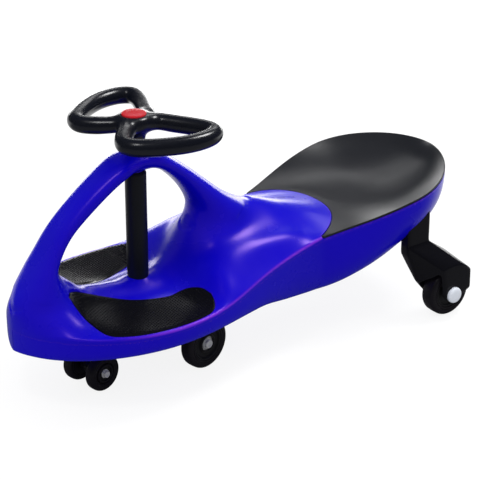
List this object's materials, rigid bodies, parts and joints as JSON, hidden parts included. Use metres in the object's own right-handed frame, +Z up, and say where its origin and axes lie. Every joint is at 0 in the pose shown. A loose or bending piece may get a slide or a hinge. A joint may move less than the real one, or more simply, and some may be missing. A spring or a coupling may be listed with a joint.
{
  "type": "wiggle car",
  "caption": "Ride-on wiggle car with a swept blue moulded body, an arch over its steering column, a dished seat, dotted footrests and a swivelling drive yoke.",
  "frame": {"origin": "on the ground under the middle of the car's length and width", "axes": "+X forward, +Y to the rider's left, +Z up"},
  "size_m": [0.746, 0.33, 0.391],
  "materials": {
    "body_blue": "gloss moulded",
    "seat_black": "satin moulded",
    "pad_black": "dotted anti-slip",
    "wheel_black": "gloss moulded",
    "cap_red": "gloss moulded",
    "steel": "zinc plated",
    "sleeve_black": "satin moulded",
    "bush_dark": "matt moulded",
    "yoke_dark": "matt moulded",
    "tyre_black": "satin",
    "hub_dark": "satin moulded",
    "bracket_black": "gloss moulded",
    "cap_white": "gloss moulded"
  },
  "bodies": {
    "car_body": {"upper_shell": "body_blue", "lower_shell": "body_blue", "seat": "seat_black", "footrest_left": "pad_black", "footrest_right": "pad_black", "column_sleeve": "sleeve_black", "upper_bush": "bush_dark", "floor_bush": "bush_dark", "lower_bush": "bush_dark", "rear_bracket_left": "bracket_black", "rear_bracket_right": "bracket_black", "rear_axle_left": "steel", "rear_axle_right": "steel", "axle_cap_left": "cap_white", "axle_cap_right": "cap_white", "bracket_pins": "steel", "body_screws": "steel"},
    "steering": {"steering_wheel": "wheel_black", "wheel_cap": "cap_red", "wheel_nut": "steel", "steering_shaft": "steel", "thrust_washer": "steel", "front_yoke": "yoke_dark", "yoke_bolt": "steel", "drive_bolt_left": "steel", "drive_bolt_right": "steel", "front_axle": "steel"},
    "drive_wheel_left": {"drive_tyre_left": "tyre_black", "drive_hub_left": "hub_dark", "drive_bearings_left": "steel"},
    "drive_wheel_right": {"drive_tyre_right": "tyre_black", "drive_hub_right": "hub_dark", "drive_bearings_right": "steel"},
    "front_roller_left": {"front_wheel_left": "tyre_black", "front_bearings_left": "steel"},
    "front_roller_right": {"front_wheel_right": "tyre_black", "front_bearings_right": "steel"},
    "rear_wheel_left": {"rear_tyre_left": "tyre_black", "rear_hub_left": "hub_dark"},
    "rear_wheel_right": {"rear_tyre_right": "tyre_black", "rear_hub_right": "hub_dark"}
  },
  "joints": [
    {"name": "steering_turn", "type": "hinge", "parent": "car_body", "child": "steering", "pos_m": [0.167, 0, 0], "axis": [0, 0, 1], "continuous": true},
    {"name": "drive_spin_left", "type": "hinge", "parent": "steering", "child": "drive_wheel_left", "pos_m": [0.09715, 0.06191, 0.0389], "axis": [-0.1822, 0.9833, 0], "continuous": true},
    {"name": "drive_spin_right", "type": "hinge", "parent": "steering", "child": "drive_wheel_right", "pos_m": [0.12397, -0.08283, 0.0389], "axis": [-0.1822, 0.9833, 0], "continuous": true},
    {"name": "front_spin_left", "type": "hinge", "parent": "steering", "child": "front_roller_left", "pos_m": [0.25634, 0.04036, 0.0307], "axis": [-0.1822, 0.9833, 0], "continuous": true},
    {"name": "front_spin_right", "type": "hinge", "parent": "steering", "child": "front_roller_right", "pos_m": [0.26487, -0.00566, 0.0307], "axis": [-0.1822, 0.9833, 0], "continuous": true},
    {"name": "rear_spin_left", "type": "hinge", "parent": "car_body", "child": "rear_wheel_left", "pos_m": [-0.298, 0.138, 0.0375], "axis": [0, 1, 0], "continuous": true},
    {"name": "rear_spin_right", "type": "hinge", "parent": "car_body", "child": "rear_wheel_right", "pos_m": [-0.298, -0.138, 0.0375], "axis": [0, 1, 0], "continuous": true}
  ]
}
